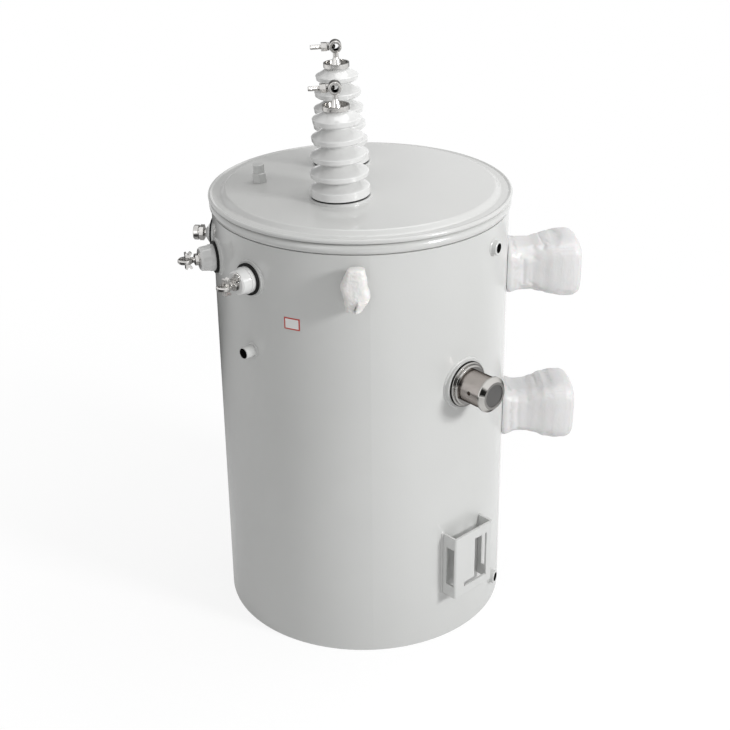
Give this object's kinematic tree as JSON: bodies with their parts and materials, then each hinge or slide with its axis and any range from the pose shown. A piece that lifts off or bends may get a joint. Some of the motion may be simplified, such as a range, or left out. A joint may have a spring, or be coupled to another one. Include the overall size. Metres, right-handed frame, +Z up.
{
  "type": "pole mounted transformer",
  "caption": "Round steel tank with ribbed porcelain bushings on its lid and short ones on its wall, turning line voltage into house supply while hung on a pole.",
  "frame": {"origin": "on the tank's axis, in the plane of its flat bottom", "axes": "+Z up along the tank's axis, +Y to the pole side where the support lugs are, +X to the right seen from the low-voltage side"},
  "size_m": [0.5954, 0.7084, 1.0324],
  "materials": {
    "tank_paint": "gloss",
    "gasket_rubber": "matte",
    "porcelain": "gloss",
    "bright_metal": "polished",
    "plastic_film": "gloss",
    "core_fill": "matte"
  },
  "bodies": {
    "root": {"tank_shell": "tank_paint", "tank_bottom": "tank_paint", "top_bead": "tank_paint", "cover": "tank_paint", "lv_flange_a": "tank_paint", "lv_flange_b": "tank_paint", "lv_flange_c": "tank_paint", "pipe_coupling": "tank_paint", "ground_boss_upper": "tank_paint", "ground_boss_lower": "tank_paint", "tap_ring": "tank_paint", "channel_bracket": "tank_paint", "lifting_lug_right": "tank_paint", "lifting_lug_left": "tank_paint", "support_lug_lower": "tank_paint", "support_lug_upper": "tank_paint", "cover_gasket": "gasket_rubber", "hv_gasket_front": "gasket_rubber", "hv_gasket_rear": "gasket_rubber", "lv_gasket_a": "gasket_rubber", "lv_gasket_b": "gasket_rubber", "lv_gasket_c": "gasket_rubber", "tap_gasket": "gasket_rubber", "hv_porcelain_front": "porcelain", "hv_porcelain_rear": "porcelain", "lv_porcelain_a": "porcelain", "lv_porcelain_b": "porcelain", "lv_porcelain_c": "porcelain", "hv_cap_front": "bright_metal", "hv_cap_rear": "bright_metal", "hv_clamp_front": "bright_metal", "hv_clamp_rear": "bright_metal", "lv_clamp_a": "bright_metal", "lv_clamp_b": "bright_metal", "lv_clamp_c": "bright_metal", "tap_flange": "bright_metal", "tap_cap": "bright_metal", "relief_plug": "bright_metal", "lifting_wrap_right": "plastic_film", "lifting_wrap_left": "plastic_film", "support_wrap_lower": "plastic_film", "support_wrap_upper": "plastic_film", "core_oil_fill": "core_fill"}
  },
  "joints": []
}
